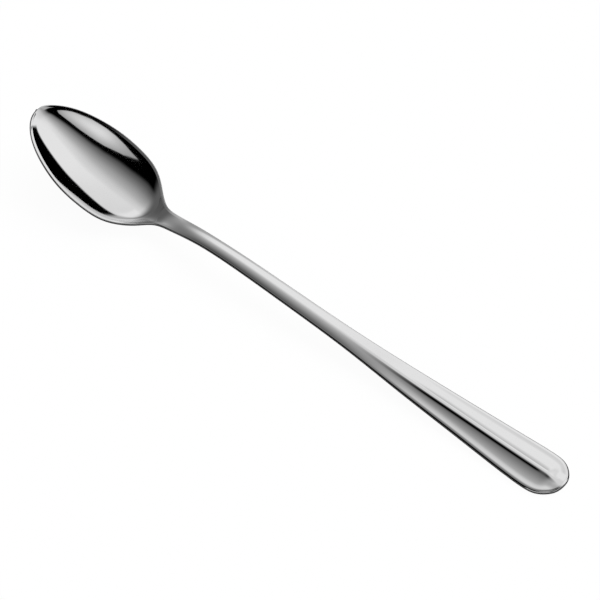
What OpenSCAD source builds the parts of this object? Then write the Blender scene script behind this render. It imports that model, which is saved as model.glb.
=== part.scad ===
// Iced tea spoon, pressed from one blank of stainless steel.
// The bowl tip points to -X, the handle end to +X, and the hollow faces up.
// It stands on the underside of the bowl and on the end of the handle.

/* [Overall] */
// Length of the upper face, from the bowl tip to the handle end
spoon_l = 190; // [172:1:215]

/* [Bowl] */
// Length of the bowl, from its tip to the start of the neck
bowl_l = 45; // [40:0.5:52]
// Width of the bowl over its rim, at the widest place
bowl_w = 26.5; // [22:0.5:32]
// Depth of the hollow below the rim
bowl_depth = 3.5; // [2.5:0.1:5]
// Thickness of the sheet in the middle of the bowl
bowl_t = 1.6; // [1.2:0.1:2.2]
// Width of the smooth land round the rim
rim_w = 1.0; // [0.6:0.1:1.4]
// Rise of the rim land from the hollow to its outer edge
rim_rise = 0.17; // [0.05:0.02:0.25]
// Thickness of the sheet at the rim
rim_t = 0.75; // [0.6:0.05:1.1]
// Height of the rim at the bowl tip
tip_h = 15.9; // [12:0.1:18]
// Height of the rim at the heel of the bowl
heel_h = 4; // [3:0.1:6]

/* [Shank] */
// Length of the neck between the bowl and the shank
neck_l = 15; // [11:0.5:20]
// Width of the upper face of the shank, where it is narrowest
shank_w = 4; // [3:0.1:6]
// Thickness of the shank in its middle, with the rounded top
shank_t = 2.3; // [1.9:0.1:3]
// Thickness of the shank at its sides
shank_side_t = 0.9; // [0.7:0.05:1.3]
// Height of the shank at the top of its arch
arch_h = 8.4; // [6:0.1:11]
// Rise of the rounded top of the shank above its sides
crown_rise = 0.35; // [0.2:0.05:0.6]

/* [Handle end] */
// Length of the rounded end, from its widest place to the tip
end_l = 19; // [14:0.5:24]
// Width of the upper face near the handle end
end_w = 15; // [11:0.5:20]
// Thickness of the handle end in its middle, without the ridge
end_t = 1.4; // [1.2:0.1:2]
// Thickness of the handle end at its sides
end_side_t = 1.4; // [1:0.1:1.8]
// Width of the rolled edge round the handle
edge_roll_w = 0.9; // [0.5:0.1:1.4]
// Drop of the rolled edge
edge_roll_drop = 0.16; // [0.06:0.02:0.3]

/* [Rib] */
// Distance from the bowl tip to where the rib starts to rise
rib_start = 108; // [90:1:120]
// Length over which the rib rises to its full height
rib_rise_l = 42; // [25:1:60]
// Width of the crest of the rib
rib_crest_w = 0.8; // [0.6:0.1:1.4]
// Width of each steep side of the rib
rib_flank_w = 0.8; // [0.6:0.1:1.4]
// Drop of the steep side of the rib
rib_flank_drop = 0.1; // [0.05:0.05:0.3]
// Rise of the ridged top of the handle from its sides to the rib
roof_rise = 1.0; // [0.5:0.1:1.4]
// Drop of the sunk panel beside the rib
panel_drop = 0.16; // [0.08:0.02:0.3]
// Distance of a panel from the edge of the handle
panel_inset = 1.2; // [0.8:0.1:2]
// Width of the slope between a panel and its border
panel_wall_w = 1.4; // [0.8:0.1:2.4]
// Length of the land between the end of the rib and the tip
land_l = 5; // [3:0.25:7]

/* [Hidden] */

steps_per_row = 5;
face_steps = 20;
rim_steps = 2;
edge_steps = 6;

// Steel left outside the face line, as a share of half the thickness
edge_reach_share = 0.8;
// Largest part of the half width that the rim land takes where the bowl is narrow
rim_share = 0.3;

// The wall of the hollow gets steeper with this power of the way out from its middle
wall_power = 2.4;

// Control rows of the bowl: place, half width, height and hollow, each as a share
bowl_rows_share = [
    [0.002, 0.145, 0.995, 0.01],
    [0.03, 0.39, 0.885, 0.15],
    [0.15, 0.72, 0.765, 0.6],
    [0.38, 0.985, 0.475, 0.96],
    [0.58, 1, 0.275, 1],
    [0.76, 0.92, 0.075, 0.82],
    [0.89, 0.51, -0.105, 0.46]
];
// Control rows of the neck: place, half width, height and hollow, each as a share
neck_rows_share = [
    [0, 1.375, 0.18, 0.11],
    [0.4, 1.33, 0.35, 0],
    [1, 1.05, 0.74, 0]
];
// Control rows of the shank and handle: place, flare and height, each as a share
shank_rows_share = [
    [0.135, 0.045, 0.84],
    [0.315, 0.095, 0.65],
    [0.495, 0.14, 0.48],
    [0.675, 0.38, 0.27],
    [0.855, 0.585, 0.16],
    [1, 0.79, 0.04]
];
// Control rows of the rounded end: place and half width, each as a share
end_rows_share = [
    [0.6, 0.94],
    [0.81, 0.85],
    [0.99, 0.4]
];

// Where the sheet thickens below the bowl, as a share of the bowl
heel_share = 0.7;
// Where the sides start to change towards the handle end, as a share of the shank
thin_share = 0.27;
// Where the ridge has died out before the tip, as a share of the land
land_level_share = 0.25;

neck_x = bowl_l + neck_l;
end_x = spoon_l - end_l;
half_bowl = bowl_w / 2;
half_shank = shank_w / 2;
half_end = end_w / 2;

inner_rows = concat(
    [for (r = bowl_rows_share) [
        r[0] * bowl_l,
        r[1] * half_bowl,
        heel_h + r[2] * (tip_h - heel_h),
        r[3] * bowl_depth
    ]],
    [for (r = neck_rows_share) [
        bowl_l + r[0] * neck_l,
        r[1] * half_shank,
        heel_h + r[2] * (arch_h - heel_h),
        r[3] * bowl_depth
    ]],
    [for (r = shank_rows_share) [
        neck_x + r[0] * (end_x - neck_x),
        half_shank + r[1] * (half_end - half_shank),
        end_t + r[2] * (arch_h - end_t),
        0
    ]],
    [for (r = end_rows_share) [end_x + r[0] * end_l, r[1] * half_end, end_t, 0]]
);
first = inner_rows[0];
last = inner_rows[len(inner_rows) - 1];

// The outline closes on itself at both ends, so the rows there are mirrored
function mirrored(r) = [r[0], -r[1], r[2], -r[3]];
rows = concat(
    [mirrored(first), [-first[0] / 2, 0, tip_h, 0]],
    inner_rows,
    [[spoon_l + (spoon_l - last[0]) / 2, 0, end_t, 0], mirrored(last)]
);
spans = len(rows) - 3;
stations = spans * steps_per_row;

// Weights of a uniform cubic B-spline at u between 0 and 1
function weights(u) = [
    pow(1 - u, 3) / 6,
    (3 * pow(u, 3) - 6 * u * u + 4) / 6,
    (-3 * pow(u, 3) + 3 * u * u + 3 * u + 1) / 6,
    pow(u, 3) / 6
];

// Place, half width, height and hollow of the face line at station i
function face_line(i) =
    let(
        k = min(floor(i / steps_per_row), spans - 1),
        b = weights(i / steps_per_row - k),
        f = b[0] * rows[k] + b[1] * rows[k + 1] + b[2] * rows[k + 2] + b[3] * rows[k + 3]
    )
    i == 0 || i == stations ? [f[0], 0, f[2], 0] : f;

// Smooth step from 0 at a to 1 at b
function ramp(x, a, b) =
    let(u = max(0, min(1, (x - a) / (b - a))))
    u * u * u * (u * (u * 6 - 15) + 10);

function unit(v) = v / norm(v);

// How far the shank section has taken over from the bowl section
function shank_part(x) = ramp(x, bowl_l + neck_l / 3, neck_x);
function to_shank(x) = ramp(x, heel_share * bowl_l, neck_x);
function to_end(x) = ramp(x, neck_x + thin_share * (end_x - neck_x), end_x);

// Thickness of the sheet at place x, at its sides and in its middle
function side_sheet(x) =
    rim_t + (shank_side_t - rim_t) * to_shank(x) + (end_side_t - shank_side_t) * to_end(x);
function middle_sheet(x) =
    let(flat_t = shank_t - crown_rise)
    bowl_t + (flat_t - bowl_t) * to_shank(x) + (end_t - flat_t) * to_end(x);

// Distance of a point of the upper face from its outline, rounded round both ends
function border(x, y, w) =
    let(side = max(0, w - abs(y)), ahead = max(0, min(x, spoon_l - x)))
    side + ahead == 0 ? 0 : side * ahead / norm([side, ahead]);

// Ridged top of the handle above its sides, at y across
function ridge(y) =
    let(out = max(0, abs(y) - rib_crest_w / 2) / half_end)
    roof_rise * (1 - out * (2 - out)) - rib_flank_drop * flank_part(y);
function flank_part(y) = ramp(abs(y), rib_crest_w / 2, rib_crest_w / 2 + rib_flank_w);

// Relief of the upper face above the plain sheet
function relief(x, y, w) =
    let(
        edge = border(x, y, w),
        shank = shank_part(x),
        ribbed = ramp(x, rib_start, rib_start + rib_rise_l),
        standing = ribbed * ramp(spoon_l - x, land_level_share * land_l, land_l),
        panel = ramp(edge, panel_inset, panel_inset + panel_wall_w) * flank_part(y),
        v = w > 0 ? y / w : 0
    )
    crown_rise * shank * (1 - ribbed) * (1 - v * v)
    + standing * ridge(y)
    - ribbed * panel_drop * panel
    + (1 - shank) * rim_rise * (1 - pow(min(1, edge / rim_w), 2))
    - shank * edge_roll_drop * pow(max(0, 1 - edge / edge_roll_w), 3);

// Places across the hollow from -1 to 1, closer together near its edges
hollow_steps = face_steps - 2 * rim_steps;
hollow_places = [for (j = [0:hollow_steps])
    let(s = 2 * j / hollow_steps - 1)
    (s + sin(90 * s)) / 2
];
// How far out on the rim land a column lies, from 0 to 1, and its place across the hollow
function rim_place(j) = max(0, rim_steps - j, j - face_steps + rim_steps) / rim_steps;
function hollow_place(j) = hollow_places[max(0, min(hollow_steps, j - rim_steps))];

face_lines = [for (i = [0:stations]) face_line(i)];

// The plain sheet: the hollow of the bowl between its rim lands, and a level shank
plain = [for (f = face_lines)
    let(land = min(rim_w, rim_share * f[1]))
    [for (j = [0:face_steps])
        let(place = hollow_place(j))
        [
            f[0],
            (f[1] - land) * place + land * rim_place(j) * sign(place),
            f[2] - f[3] * (1 - pow(abs(place), wall_power))
        ]
    ]
];

// Upward normal of the plain sheet at row i and column j
function grid_normal(i, j) =
    let(
        along = plain[min(i + 1, stations)][j] - plain[max(i - 1, 0)][j],
        across = plain[i][min(j + 1, face_steps)] - plain[i][max(j - 1, 0)]
    )
    unit(cross(along, across));
mid_column = face_steps / 2;
function sheet_normal(i, j) =
    i < 2 ? grid_normal(2, mid_column)
    : i > stations - 2 ? grid_normal(stations - 2, mid_column)
    : grid_normal(i, j);

upper = [for (i = [0:stations]) [for (p = plain[i])
    p + [0, 0, relief(p[0], p[1], face_lines[i][1])]
]];
lower = [for (i = [0:stations]) [for (j = [0:face_steps])
    let(
        p = plain[i][j],
        w = face_lines[i][1],
        inward = w > 0 ? border(p[0], p[1], w) / w : 0,
        side_t = side_sheet(p[0]),
        swell_t = middle_sheet(p[0]) - side_t
    )
    p - (side_t + swell_t * inward * (2 - inward)) * sheet_normal(i, j)
]];

// Direction of the face line on the side of column j, at row i
function line_way(i, j, side) =
    i == 0 ? [0, side, 0]
    : i == stations ? [0, -side, 0]
    : unit(upper[i + 1][j] - upper[i - 1][j]);

// Rounded edge at row i, from the upper face down to the lower one
function edge_points(i, side) =
    let(
        j = side > 0 ? face_steps : 0,
        top = upper[i][j],
        low = lower[i][j],
        middle = (top + low) / 2,
        out = side * unit(cross(top - low, line_way(i, j, side))),
        reach = edge_reach_share * side_sheet(face_lines[i][0]) / 2
    )
    [for (k = [1:edge_steps - 1])
        let(a = 180 * k / edge_steps)
        middle + (top - low) / 2 * cos(a) + out * reach * sin(a)
    ];

function reversed(list) = [for (n = [len(list) - 1:-1:0]) list[n]];

// One closed loop of points round the section at row i
function section(i) = concat(
    upper[i],
    edge_points(i, 1),
    reversed(lower[i]),
    reversed(edge_points(i, -1))
);

// At either tip the section shrinks to one arc: upper point, edge points, lower point
function tip_arc(i) = concat([upper[i][mid_column]], edge_points(i, 1), [lower[i][mid_column]]);

loop_n = 2 * (face_steps + 1) + 2 * (edge_steps - 1);
arc_n = edge_steps + 1;

// Which point of a tip arc belongs to point m of a loop
function arc_index(m) =
    m <= face_steps ? 0
    : m <= face_steps + edge_steps - 1 ? m - face_steps
    : m <= 2 * face_steps + edge_steps ? edge_steps
    : loop_n - m;

skin_points = concat(
    tip_arc(0),
    [for (i = [1:stations - 1]) each section(i)],
    tip_arc(stations)
);
last_arc = arc_n + (stations - 1) * loop_n;
function at(i, m) =
    i == 0 ? arc_index(m % loop_n)
    : i == stations ? last_arc + arc_index(m % loop_n)
    : arc_n + (i - 1) * loop_n + m % loop_n;

// Two triangles between neighbouring rows, or one where a tip has drawn two points together
function patch(a, b, c, d) = concat(
    a == b ? [] : [[a, b, c]],
    c == d ? [] : [[a, c, d]]
);
skin_faces = [for (i = [0:stations - 1]) for (m = [0:loop_n - 1])
    each patch(at(i, m), at(i, m + 1), at(i + 1, m + 1), at(i + 1, m))
];

// Middle of the overall length, and the lowest point, which both go to the origin
all_x = [for (p = skin_points) p[0]];
all_z = [for (p = skin_points) p[2]];
origin_shift = [-(min(all_x) + max(all_x)) / 2, 0, -min(all_z)];

module spoon() {
    color([0.78, 0.78, 0.79])
    translate(origin_shift)
    polyhedron(points = skin_points, faces = skin_faces, convexity = 6);
}

spoon();
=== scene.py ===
import functools
import math
import bpy
import numpy as np
from mathutils import Matrix, Vector


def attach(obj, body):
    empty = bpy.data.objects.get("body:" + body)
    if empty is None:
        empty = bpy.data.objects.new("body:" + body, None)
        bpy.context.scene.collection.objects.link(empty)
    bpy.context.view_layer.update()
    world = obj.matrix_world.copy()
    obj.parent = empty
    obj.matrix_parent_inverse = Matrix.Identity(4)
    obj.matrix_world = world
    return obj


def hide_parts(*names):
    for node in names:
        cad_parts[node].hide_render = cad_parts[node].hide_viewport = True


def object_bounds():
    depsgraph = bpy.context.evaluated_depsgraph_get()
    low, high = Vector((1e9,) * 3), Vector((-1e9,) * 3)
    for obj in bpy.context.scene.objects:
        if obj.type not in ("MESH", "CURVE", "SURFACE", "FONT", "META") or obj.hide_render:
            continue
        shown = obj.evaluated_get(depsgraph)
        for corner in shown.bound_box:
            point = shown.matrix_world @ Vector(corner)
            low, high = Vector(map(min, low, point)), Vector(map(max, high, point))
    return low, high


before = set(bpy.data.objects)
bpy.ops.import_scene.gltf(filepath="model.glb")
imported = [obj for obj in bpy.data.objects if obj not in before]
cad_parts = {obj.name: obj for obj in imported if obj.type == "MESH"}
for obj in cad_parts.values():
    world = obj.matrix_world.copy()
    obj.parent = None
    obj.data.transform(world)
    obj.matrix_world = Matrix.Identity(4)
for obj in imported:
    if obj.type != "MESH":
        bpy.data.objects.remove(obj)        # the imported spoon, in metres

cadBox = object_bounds()
print("frame loaded, box", [round(v, 4) for corner in cadBox for v in corner])

tiny = 1e-12        # keeps a division by a width of nothing from failing

# the spoon is one pressed sheet, in millimetres: the control rows of the part's source drawn
# finer, with the relief that only a mirror shows
pressing = {
    "spoonL": 190, "archH": 8.4, "heelH": 4.0, "tipH": 15.9,
    # the bowl, and the land round its rim
    "bowlL": 45, "bowlW": 26.7, "bowlDepth": 3.5, "bowlT": 1.6, "wallPower": 2.4,
    "rimW": 0.75, "rimRise": 0.2, "rimT": 0.75, "rimShare": 0.3, "rimFadeL": 7.5,
    # the neck and the crowned shank
    "neckL": 15, "shankW": 4.0, "shankT": 2.3, "shankSideT": 0.9, "crownRise": 0.42, "crownPower": 2,
    # the handle's rounded end
    "endL": 19, "endW": 15.0, "endT": 1.4, "endSideT": 1.4,
    # the rib: its flanks are given for the near side, where y is below 0, and for the far side,
    # and what fades does so by its distance from the handle's end
    "ribStart": 108, "ribRiseL": 42, "ribCrestW": 0.9, "ribFade": (1.2, 6.0),
    "flankW": (1.0, 2.4), "flankDrop": (0.055, 0.0), "flankFade": (6.0, 9.0),
    # the panels slope from the rib like a roof, and a low land closes them before the end
    "roofRise": 1.0, "roofFoot": 0.88, "panelDrop": 0.03, "panelInset": 0.6, "panelWallW": 1.8,
    "landRise": 0.15, "landW": 7.5, "landFade": (2.0, 4.2),
    "edgeRollW": 0.7, "edgeRollDrop": 0.08, "edgeRollPower": 3,
    # how far the side bulges, as a share of half its thickness, and where the sheet thickens
    "bowlBulge": 0.5, "shankBulge": 0.8, "bulgeStart": 5.0, "heelShare": 0.7, "thinShare": 0.27,
    # control rows, in shares: place along their stretch, half width, height and depth of the
    # hollow; the shank has no hollow, and the end has no hollow and lies flat
    "bowlRows": [(0.002, 0.145, 0.995, 0.01), (0.03, 0.39, 0.885, 0.15), (0.15, 0.72, 0.765, 0.6),
                 (0.38, 0.985, 0.475, 0.96), (0.58, 1, 0.275, 1), (0.76, 0.92, 0.075, 0.82),
                 (0.89, 0.51, -0.105, 0.46)],
    "neckRows": [(0, 1.375, 0.18, 0.03), (0.4, 1.33, 0.35, 0), (1, 1.05, 0.74, 0)],
    "shankRows": [(0.135, 0.045, 0.84), (0.315, 0.095, 0.65), (0.495, 0.14, 0.48),
                  (0.675, 0.38, 0.27), (0.855, 0.585, 0.16), (1, 0.79, 0.04)],
    "endRows": [(0.6, 0.94), (0.81, 0.85), (0.99, 0.4)],
    # steps of the mesh, and the row from either tip whose normal the tip takes over
    "stepsPerRow": 16, "stepsAcross": 96, "stepsRound": 12, "rimSteps": 6, "settledRow": 5,
}


def ramp(x, a, b):
    # smooth from 0 at a to 1 at b, also in its slope and its bend
    u = np.clip((np.asarray(x, float) - a) / (b - a), 0, 1)
    return u * u * u * (u * (u * 6 - 15) + 10)


def unit(v):
    return v / np.linalg.norm(v, axis=-1, keepdims=True)


def stretches(p):
    # where the neck ends and where the handle's end begins
    return p["bowlL"] + p["neckL"], p["spoonL"] - p["endL"]


def controlRows(p):
    # place, half width, height and hollow of every row, in millimetres
    neckX, endX = stretches(p)
    halfBowl, halfShank, halfEnd = p["bowlW"] / 2, p["shankW"] / 2, p["endW"] / 2
    heelH, tipH, archH, endH = p["heelH"], p["tipH"], p["archH"], p["endT"]
    rows = [(a * p["bowlL"], b * halfBowl, heelH + c * (tipH - heelH), d * p["bowlDepth"])
            for a, b, c, d in p["bowlRows"]]
    rows += [(p["bowlL"] + a * p["neckL"], b * halfShank, heelH + c * (archH - heelH),
              d * p["bowlDepth"]) for a, b, c, d in p["neckRows"]]
    rows += [(neckX + a * (endX - neckX), halfShank + b * (halfEnd - halfShank),
              endH + c * (archH - endH), 0) for a, b, c in p["shankRows"]]
    rows += [(endX + a * p["endL"], b * halfEnd, endH, 0) for a, b in p["endRows"]]
    # mirrored rows beyond either tip close the outline round
    first, last = rows[0], rows[-1]
    before = [(first[0], -first[1], first[2], -first[3]), (-first[0] / 2, 0, tipH, 0)]
    after = [(p["spoonL"] + (p["spoonL"] - last[0]) / 2, 0, endH, 0), (last[0], -last[1], endH, 0)]
    return np.array(before + rows + after, float)


def faceLine(p):
    # the control rows drawn out as one smooth line, a cubic B-spline
    rows = controlRows(p)
    spans = len(rows) - 3
    t = np.linspace(0, spans, spans * p["stepsPerRow"] + 1)
    k = np.minimum(t.astype(int), spans - 1)
    u = (t - k)[:, None]
    weights = [(1 - u) ** 3 / 6, (3 * u ** 3 - 6 * u * u + 4) / 6,
               (-3 * u ** 3 + 3 * u * u + 3 * u + 1) / 6, u ** 3 / 6]
    line = sum(w * rows[k + n] for n, w in enumerate(weights))
    line[[0, -1], 1] = 0        # no width and no hollow at the tips
    line[[0, -1], 3] = 0
    return line


def borderOf(p, x, y, w):
    # distance of a point of the upper face from its outline, rounded round both ends
    side = np.clip(w - abs(y), 0, None)
    ahead = np.clip(np.minimum(x, p["spoonL"] - x), 0, None)
    return side * ahead / np.maximum(np.hypot(side, ahead), tiny)


def rimRelief(p, x, border):
    # the bowl's rim rises to its edge, and dies out before the neck
    rimmed = 1 - ramp(x, p["bowlL"] - p["rimFadeL"], p["bowlL"])
    return p["rimRise"] * rimmed * (1 - np.clip(border / p["rimW"], 0, 1))


def handleRelief(p, x, y, w, border):
    # rounded top of the shank, then the rib, its panels, the land at its end and a rolled border
    crest = p["ribCrestW"] / 2
    ribbed = ramp(x, p["ribStart"], p["ribStart"] + p["ribRiseL"])
    ahead = np.clip(p["spoonL"] - x, 0, None)
    crowned = ramp(x, p["bowlL"], stretches(p)[0]) * (1 - ribbed)
    crown = p["crownRise"] * crowned * (1 - abs(y / np.maximum(w, tiny)) ** p["crownPower"])
    # the panels slope evenly from the rib and level out towards the border
    out = np.clip((abs(y) - crest) / np.maximum(w * p["roofFoot"] - crest, tiny), 0, 1)
    roof = p["roofRise"] * w / (p["endW"] / 2) * (1 - out * (2 - out))
    flankW, flankDrop = np.where(y < 0, *p["flankW"]), np.where(y < 0, *p["flankDrop"])
    flank = ramp(abs(y), crest, crest + flankW)
    rib = ramp(ahead, *p["ribFade"]) * (roof - flankDrop * flank * ramp(ahead, *p["flankFade"]))
    land = (1 - ramp(ahead, *p["landFade"])) * (1 - ramp(abs(y), crest, p["landW"] / 2))
    panel = flank * ramp(border, p["panelInset"], p["panelInset"] + p["panelWallW"])
    rolled = np.clip(1 - border / p["edgeRollW"], 0, 1) ** p["edgeRollPower"]
    ridged = rib + p["landRise"] * land - p["panelDrop"] * panel - p["edgeRollDrop"] * rolled
    return crown + ribbed * ridged


def thickness(p, x, inward):
    # of the sheet at its side, and at a share of the way in from there
    neckX, endX = stretches(p)
    toShank = ramp(x, p["heelShare"] * p["bowlL"], neckX)
    toEnd = ramp(x, neckX + p["thinShare"] * (endX - neckX), endX)
    shankT = p["shankT"] - p["crownRise"]
    sideT = p["rimT"] + (p["shankSideT"] - p["rimT"]) * toShank + (p["endSideT"] - p["shankSideT"]) * toEnd
    middleT = p["bowlT"] + (shankT - p["bowlT"]) * toShank + (p["endT"] - shankT) * toEnd
    return sideT, sideT[:, None] + (middleT - sideT)[:, None] * inward * (2 - inward)


def roundedSide(p, x, sideT, top, low, side):
    # an arc from the upper to the lower face, along one side of the spoon
    turn = (np.pi * np.arange(1, p["stepsRound"]) / p["stepsRound"])[None, :, None]
    toShank = ramp(x, p["bowlL"] + p["bulgeStart"], stretches(p)[0])
    reach = sideT / 2 * (p["bowlBulge"] + (p["shankBulge"] - p["bowlBulge"]) * toShank)
    way = np.gradient(top, axis=0)
    way[0], way[-1] = (0, side, 0), (0, -side, 0)
    out = side * unit(np.cross(top - low, unit(way))) * reach[:, None]
    middle, half = ((top + low) / 2)[:, None], ((top - low) / 2)[:, None]
    return middle + half * np.cos(turn) + out[:, None] * np.sin(turn)


def pressedSkin(p):
    # every section as one closed loop of points, from the bowl tip to the handle end
    across, settled = p["stepsAcross"], p["settledRow"]
    x, w, z, hollow = faceLine(p).T
    s = np.linspace(-1, 1, across + 1)[None]
    inside = 1 - p["rimSteps"] * 2 / across
    t = np.clip(s / inside, -1, 1)
    spread = (t + np.sin(np.pi / 2 * t)) / 2        # closer together towards the rim
    beyond = np.clip((abs(s) - inside) / (1 - inside), 0, 1) * np.sign(s)
    rim = np.minimum(p["rimW"], w * p["rimShare"])[:, None]
    gridX, gridW = (np.repeat(v[:, None], across + 1, 1) for v in (x, w))
    gridY = (gridW - rim) * spread + rim * beyond
    dish = hollow[:, None] * (1 - abs(spread) ** p["wallPower"])
    plain = np.stack([gridX, gridY, z[:, None] - dish], -1)
    normal = unit(np.cross(np.gradient(plain, axis=0), np.gradient(plain, axis=1)) + [0, 0, tiny])
    normal[0], normal[-1] = normal[settled, across // 2], normal[-1 - settled, across // 2]
    border = borderOf(p, gridX, gridY, gridW)
    raised = rimRelief(p, gridX, border) + handleRelief(p, gridX, gridY, gridW, border)
    upper = plain + raised[..., None] * [0, 0, 1]
    sideT, through = thickness(p, x, border / np.maximum(gridW, tiny))
    lower = plain - through[..., None] * normal
    right = roundedSide(p, x, sideT, upper[:, -1], lower[:, -1], 1)
    left = roundedSide(p, x, sideT, upper[:, 0], lower[:, 0], -1)
    loops = np.concatenate([upper, right, lower[:, ::-1], left[:, ::-1]], 1)
    low, high = loops.reshape(-1, 3).min(0), loops.reshape(-1, 3).max(0)
    return loops - [(low[0] + high[0]) / 2, 0, low[2]]


def pressedMesh(p):
    # the loops joined by quads, and one arc of points at either tip
    loops = pressedSkin(p)
    rows, loopN = loops.shape[:2]
    across, around = p["stepsAcross"], p["stepsRound"]
    m = np.arange(loopN)
    arcOf = np.where(m <= across, 0, np.where(m < across + around, m - across,
                     np.where(m <= 2 * across + around, around, loopN - m)))
    arcAt = [0, *range(across + 1, across + around + 1)]
    points = np.concatenate([loops[0][arcAt], loops[1:-1].reshape(-1, 3), loops[-1][arcAt]])
    index = np.arange(rows * loopN).reshape(rows, loopN) - loopN + len(arcAt)
    index[0], index[-1] = arcOf, len(arcAt) + (rows - 2) * loopN + arcOf
    faces = []
    for a, b in zip(index, index[1:]):
        for q in zip(a, np.roll(a, -1), np.roll(b, -1), b):
            face = [int(n) for n, last in zip(q, q[-1:] + q[:-1]) if n != last]
            if len(face) > 2:
                faces.append(face)
    points = points / 1000          # metres from here on
    points[:, 0] *= min(1, cadBox[1][0] / points[:, 0].max())      # no longer than the solid
    mesh = bpy.data.meshes.new("spoonPressing")
    mesh.from_pydata(points.tolist(), [], faces)
    mesh.shade_smooth()
    # the inner line of the rim land is crisp
    bowlRows = int((loops[:, 0, 0] < loops[0, 0, 0] + p["bowlL"]).sum())
    crisp = set()
    for column in (p["rimSteps"], across - p["rimSteps"]):
        line = index[1:bowlRows, column].tolist()
        crisp |= {frozenset(pair) for pair in zip(line, line[1:])}
    for edge in mesh.edges:
        edge.use_edge_sharp = frozenset(edge.vertices) in crisp
    mesh.validate()
    return mesh


spoon = bpy.data.objects.new("spoonPressing", pressedMesh(pressing))
bpy.context.scene.collection.objects.link(spoon)
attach(spoon, "root")
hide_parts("spoon")
print("pressing made,", len(spoon.data.vertices), "points")


# shader maths: one wire out of a node, with Python's operators
class Wire:
    def __init__(self, tree, socket=None):
        self.tree, self.socket = tree, socket

    def node(self, kind, settings=None, inputs=None, output=0):
        made = self.tree.nodes.new("ShaderNode" + kind)
        for name, value in (settings or {}).items():
            if name == "stops":
                made.color_ramp.interpolation = "CARDINAL"
                elements = made.color_ramp.elements
                for place, level in value[2:]:
                    elements.new(place)
                for n, (place, level) in enumerate(value):
                    elements[n].position = place
                for n, (place, level) in enumerate(value):
                    elements[n].color = (level, level, level, 1)
            else:
                setattr(made, name, value)
        for key, value in (inputs or {}).items():
            if isinstance(value, Wire):
                self.tree.links.new(value.socket, made.inputs[key])
            else:
                made.inputs[key].default_value = value
        return Wire(self.tree, made.outputs[output]) if made.outputs else made

    def maths(self, operation, *values):
        return self.node("Math", {"operation": operation}, dict(enumerate(values)))

    def __add__(self, other):
        return self.maths("ADD", self, other)

    def __sub__(self, other):
        return self.maths("SUBTRACT", self, other)

    def __mul__(self, other):
        return self.maths("MULTIPLY", self, other)

    def __truediv__(self, other):
        return self.maths("DIVIDE", self, other)

    def __rsub__(self, other):
        return self.maths("SUBTRACT", other, self)

    def __rtruediv__(self, other):
        return self.maths("DIVIDE", other, self)

    def __rpow__(self, other):
        return self.maths("POWER", other, self)

    __radd__, __rmul__ = __add__, __mul__

    def least(self, other):
        return self.maths("MINIMUM", self, other)

    def most(self, other):
        return self.maths("MAXIMUM", self, other)

    def softLeast(self, other, width):
        return self.maths("SMOOTH_MIN", self, other, width)

    def rise(self, a, b):
        # smooth step from 0 at a to 1 at b
        return self.node("MapRange", {"interpolation_type": "SMOOTHSTEP"},
                         {"Value": self, "From Min": a, "From Max": b})

    def ramp(self, stops):
        return self.node("ValToRGB", {"stops": stops}, {"Fac": self})

    def split(self):
        made = self.node("SeparateXYZ", None, {0: self})
        return [Wire(self.tree, socket) for socket in made.socket.node.outputs]

    def dot(self, direction):
        return self.node("VectorMath", {"operation": "DOT_PRODUCT"},
                         {0: self, 1: direction}, "Value")


def newTree(owner):
    owner.use_nodes = True
    owner.node_tree.nodes.clear()
    return Wire(owner.node_tree)


# polished stainless steel: bright, nearly mirror-like, with the faint haze of polishing
steel = {
    "colour": (0.76, 0.76, 0.762), "darker": 0.97, "dullFrom": (0.4, 0.8),      # dulled by handling
    "roughness": (0.035, 0.075), "hazeFrom": (0.3, 0.75),
    "hazeNoise": {"Scale": 55, "Detail": 5.0, "Roughness": 0.6},
    # the fine lines of polishing run along the spoon
    "lineNoise": {"Scale": 900, "Detail": 4.0, "Roughness": 0.7}, "lineStretch": (0.06, 1.0, 1.0),
    "lineRoughness": 0.02, "lineFrom": (0.5, 0.8), "lineBump": 0.012, "lineDepth": 0.00002,
}


def polishedSteel(p):
    material = bpy.data.materials.new("polishedSteel")
    tree = newTree(material)
    place = tree.node("TexCoord", None, None, "Object")
    haze = tree.node("TexNoise", None, {"Vector": place, **p["hazeNoise"]})
    along = tree.node("VectorMath", {"operation": "MULTIPLY"}, {0: place, 1: p["lineStretch"]})
    lines = tree.node("TexNoise", None, {"Vector": along, **p["lineNoise"]})
    smooth, hazy = p["roughness"]
    roughness = smooth + (hazy - smooth) * haze.rise(*p["hazeFrom"])
    roughness = roughness + p["lineRoughness"] * lines.rise(*p["lineFrom"])
    dulled = [c * p["darker"] for c in p["colour"]]
    colour = tree.node("Mix", {"data_type": "RGBA"},
                       {"Factor": haze.rise(*p["dullFrom"]), "A": (*p["colour"], 1),
                        "B": (*dulled, 1)}, "Result")
    bump = tree.node("Bump", None, {"Strength": p["lineBump"], "Distance": p["lineDepth"],
                                    "Height": lines}, "Normal")
    shader = tree.node("BsdfPrincipled", None, {"Base Color": colour, "Metallic": 1.0,
                                                "Roughness": roughness, "Normal": bump})
    tree.node("OutputMaterial", None, {"Surface": shader})
    return material


spoon.data.materials.append(polishedSteel(steel))
print("polished steel made")


# camera: nearly square on from above, far away with a long lens
camera = {
    "azimuth": 40.29, "elevation": 50.0, "distance": 3.0, "lens": 650.7, "sensor": 36,
    "target": (0, 0, 0.005), "aimRight": 0.000905, "aimUp": 0.000916,
}


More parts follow.
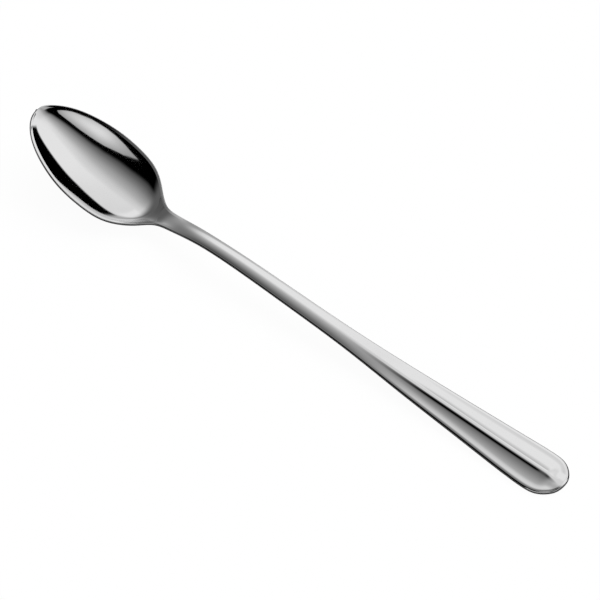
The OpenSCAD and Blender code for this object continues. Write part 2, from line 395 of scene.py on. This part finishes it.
def placeCamera(p):
    a, e = math.radians(p["azimuth"]), math.radians(p["elevation"])
    back = Vector((math.sin(a) * math.cos(e), -math.cos(a) * math.cos(e), math.sin(e)))
    right = Vector((math.cos(a), math.sin(a), 0))
    up = back.cross(right)
    data = bpy.data.cameras.new("camera")
    data.lens, data.sensor_width = p["lens"], p["sensor"]
    eye = bpy.data.objects.new("camera", data)
    aim = Vector(p["target"]) + p["aimRight"] * right + p["aimUp"] * up
    turn = Matrix((right, up, back)).transposed().to_4x4()
    eye.matrix_world = Matrix.Translation(aim + back * p["distance"]) @ turn
    bpy.context.scene.collection.objects.link(eye)
    bpy.context.scene.camera = eye
    return right, back


toRight, toCamera = placeCamera(camera)
print("camera placed")


# studio: light by direction alone; two numbers by themselves are a smooth step from none to full
studio = {
    # a broad pale card: its level overhead, how far towards the back that doubles, and a lift of
    # its bright end
    "overhead": 0.205, "doubling": 0.27, "lift": 0.14, "liftFrom": (0.36, 0.52),
    "boost": 0.22, "boostFrom": (0.1, 0.5),
    "sideFall": 0.13, "sideIn": (-0.33, -0.2), "sideOut": (-0.25, 0.2), "sideSoft": 0.04,
    # where its front edge lies, from the bowl's end (0) to the handle's (1), and how it fades in
    "edgeStops": [(0.38, 0.28), (0.475, 0.35), (0.525, 0.40), (0.575, 0.47), (0.625, 0.52),
                  (0.725, 0.61), (0.8, 0.68), (0.85, 0.74)],
    "edgeFade": [(0, 0), (0.08, 0.1), (0.2, 0.45), (0.4, 0.7), (0.7, 0.92), (1, 1)],
    # below the card the room is dark on the handle's side (low) and half dark on the bowl's (dim),
    # and past the bowl the card falls to a low level (end)
    "lowEdge": (0.455, 0.51), "lowEnd": (-0.04, 0.06), "lowTurn": 0.37, "lowTip": (0.37, 0.5),
    "lowBend": 0.4, "lowBendFrom": -0.05, "dim": 0.5, "dimEdge": (0.3, 0.5), "dimEnd": (0.05, 0.35),
    "endFrom": (0.43, 0.85), "endLevel": 0.13,
    # a plain fill low in front and past the handle, for the views from behind, with a dark gap
    "fillLevel": 0.5, "fillFrom": (0.3, 0.55), "fillTop": (0.45, 0.62), "farFrom": (0.82, 0.95),
    "gapIn": (-0.66, -0.54), "gapOut": (-0.36, -0.22),
}


def cardLight(x, y, z, p):
    card = p["overhead"] * 2 ** (y / p["doubling"]) * (1 + p["lift"] * y.rise(*p["liftFrom"]))
    card = card.least(1) * (1 + p["boost"] * x.rise(*p["boostFrom"]))
    fall = x.rise(*p["sideIn"]) * (1 - x.rise(*p["sideOut"]))
    card = card.softLeast(1 - p["sideFall"] * fall, p["sideSoft"])
    edge = (0.5 * x + 0.5).ramp(p["edgeStops"]) - 0.5
    card = card * (2 * (y - edge)).ramp(p["edgeFade"])
    bend = p["lowBend"] * (p["lowBendFrom"] - x).most(0)
    low = (1 - (z + bend).rise(*p["lowEdge"])) * (x + p["lowTurn"] * y).rise(*p["lowEnd"])
    low = low * (1 - x.rise(*p["lowTip"]))
    dim = (1 - z.rise(*p["dimEdge"])) * (0 - x).rise(*p["dimEnd"])
    card = card * (1 - low) * (1 - p["dim"] * dim)
    end = (0 - x).rise(*p["endFrom"])
    return card * (1 - end) + end * p["endLevel"]


def fillLight(x, y, z, p):
    front = (0 - y).rise(*p["fillFrom"]) * x.rise(*p["gapOut"]).most(1 - x.rise(*p["gapIn"]))
    return p["fillLevel"] * front.most(x.rise(*p["farFrom"])) * (1 - z.rise(*p["fillTop"]))


# soft box over the camera: its corners are slopes away from its middle, to the right and up
box = {
    "elevation": 58, "centre": (0.06, 0.1), "fall": (0.37, 0.26), "level": 0.92, "soft": 0.015,
    "corners": [(-0.34, 0.27), (-0.28, 0.145), (-0.2, 0.06), (-0.09, -0.025), (0.03, -0.078),
                (0.2, -0.055), (0.52, 0.06), (0.5, 0.17), (0.33, 0.32), (0.1, 0.375),
                (-0.15, 0.36)],
    "leastFacing": 0.1,
}


def softBox(direction, right, back, p):
    e = math.radians(p["elevation"])
    level = Vector((back.x, back.y, 0)).normalized()
    middle = level * math.cos(e) + Vector((0, 0, math.sin(e)))
    rise = Vector((0, 0, math.cos(e))) - level * math.sin(e)
    corners = [middle + a * right + b * rise for a, b in p["corners"]]
    sides = []
    for a, b in zip(corners, corners[1:] + corners[:1]):
        plane = a.cross(b).normalized()
        sides.append(direction.dot(plane if plane.dot(middle) > 0 else -plane))
    inside = functools.reduce(Wire.least, sides)
    facing = direction.dot(middle).most(p["leastFacing"])
    across = (direction.dot(right) / facing - p["centre"][0]) / p["fall"][0]
    up = (direction.dot(rise) / facing - p["centre"][1]) / p["fall"][1]
    return p["level"] / (1 + across * across + up * up) * inside.rise(0, p["soft"])


def makeStudio(right, back):
    # the camera itself sees plain white
    world = bpy.data.worlds.new("studio")
    bpy.context.scene.world = world
    tree = newTree(world)
    direction = tree.node("TexCoord", None, None, "Generated")
    x, y, z = direction.split()
    light = cardLight(x, y, z, studio).most(fillLight(x, y, z, studio))
    light = light + softBox(direction, right, back, box)
    seen = tree.node("LightPath", None, None, "Is Camera Ray")
    shown = seen + (1 - seen) * light
    glow = tree.node("Background", None, {"Color": (1, 1, 1, 1), "Strength": shown})
    tree.node("OutputWorld", None, {"Surface": glow})


makeStudio(toRight, toCamera)
print("studio made")


# floor: plain and pale, white to the camera, with the faint shadow of the spoon, and open from below
floor = {"size": 6.0, "glow": 0.95, "paint": 0.15, "mirrored": 0.25}


def grey(level):
    return (level, level, level, 1)


def makeFloor(p):
    half = p["size"] / 2
    mesh = bpy.data.meshes.new("floor")
    mesh.from_pydata([(-half, -half, 0), (half, -half, 0), (half, half, 0), (-half, half, 0)],
                     [], [(0, 1, 2, 3)])
    plane = bpy.data.objects.new("floor", mesh)
    bpy.context.scene.collection.objects.link(plane)
    material = bpy.data.materials.new("floorPaint")
    tree = newTree(material)
    glow = tree.node("Emission", None, {"Color": grey(1), "Strength": p["glow"]})
    paint = tree.node("BsdfDiffuse", None, {"Color": grey(p["paint"])})
    pale = tree.node("AddShader", None, {0: glow, 1: paint})
    mirrored = tree.node("BsdfDiffuse", None, {"Color": grey(p["mirrored"])})
    clear = tree.node("BsdfTransparent", None, {"Color": grey(1)})
    seen = tree.node("LightPath", None, None, "Is Camera Ray")
    glossy = tree.node("LightPath", None, None, "Is Glossy Ray")
    fromAbove = 1 - tree.node("NewGeometry", None, None, "Backfacing")
    laid = tree.node("MixShader", None, {0: seen, 1: mirrored, 2: pale})
    mixed = tree.node("MixShader", None, {0: (seen + glossy) * fromAbove, 1: clear, 2: laid})
    tree.node("OutputMaterial", None, {"Surface": mixed})
    mesh.materials.append(material)


makeFloor(floor)
bpy.context.scene.view_settings.view_transform = "Standard"
print("floor made")
